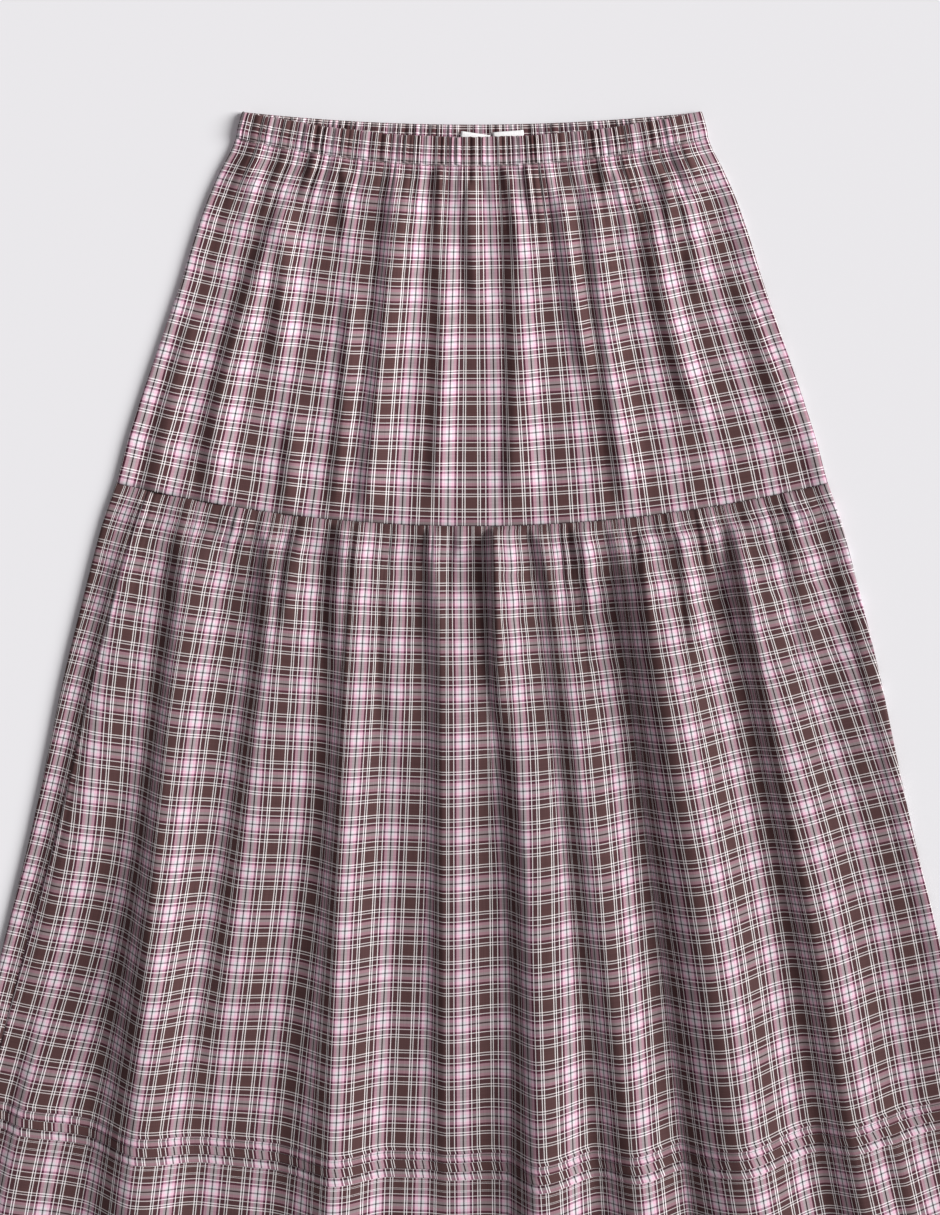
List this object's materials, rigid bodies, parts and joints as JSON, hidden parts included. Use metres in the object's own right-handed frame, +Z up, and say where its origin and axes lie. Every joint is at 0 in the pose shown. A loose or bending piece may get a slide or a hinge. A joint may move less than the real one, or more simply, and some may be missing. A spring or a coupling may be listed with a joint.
{
  "type": "maxi skirt",
  "caption": "Tiered maxi skirt lying flat: elastic waist casing with blank labels inside, gathered upper and lower tiers, pressed tucks across the lower tier, brown and pink check.",
  "frame": {"origin": "middle of the skirt's outline, on the surface that it lies on", "axes": "+X to the right seen from above with the waist at the top, +Y along the skirt towards the waist, +Z up out of the front side"},
  "size_m": [0.8278, 0.9452, 0.0254],
  "materials": {
    "casing_front_cloth": "gathered brown and pink checked cotton, matt",
    "casing_back_cloth": "gathered brown and pink checked cotton, matt",
    "upper_front_cloth": "brown and pink checked cotton, matt, plain weave",
    "upper_back_cloth": "brown and pink checked cotton, matt, plain weave",
    "lower_front_cloth": "brown and pink checked cotton, matt, plain weave",
    "lower_back_cloth": "brown and pink checked cotton, matt, plain weave",
    "tuck_first_cloth": "brown and pink checked cotton, pressed tuck",
    "tuck_second_cloth": "brown and pink checked cotton, pressed tuck",
    "tuck_third_cloth": "brown and pink checked cotton, pressed tuck",
    "tuck_fourth_cloth": "brown and pink checked cotton, pressed tuck",
    "label_main_cloth": "woven white label, blank",
    "label_size_cloth": "woven white label, blank"
  },
  "bodies": {
    "root": {"waist_casing_front": "casing_front_cloth", "waist_casing_back": "casing_back_cloth", "upper_tier_front": "upper_front_cloth", "upper_tier_back": "upper_back_cloth", "lower_tier_front": "lower_front_cloth", "lower_tier_back": "lower_back_cloth", "pintuck_first": "tuck_first_cloth", "pintuck_second": "tuck_second_cloth", "pintuck_third": "tuck_third_cloth", "pintuck_fourth": "tuck_fourth_cloth", "label_main": "label_main_cloth", "label_size": "label_size_cloth"}
  },
  "joints": []
}
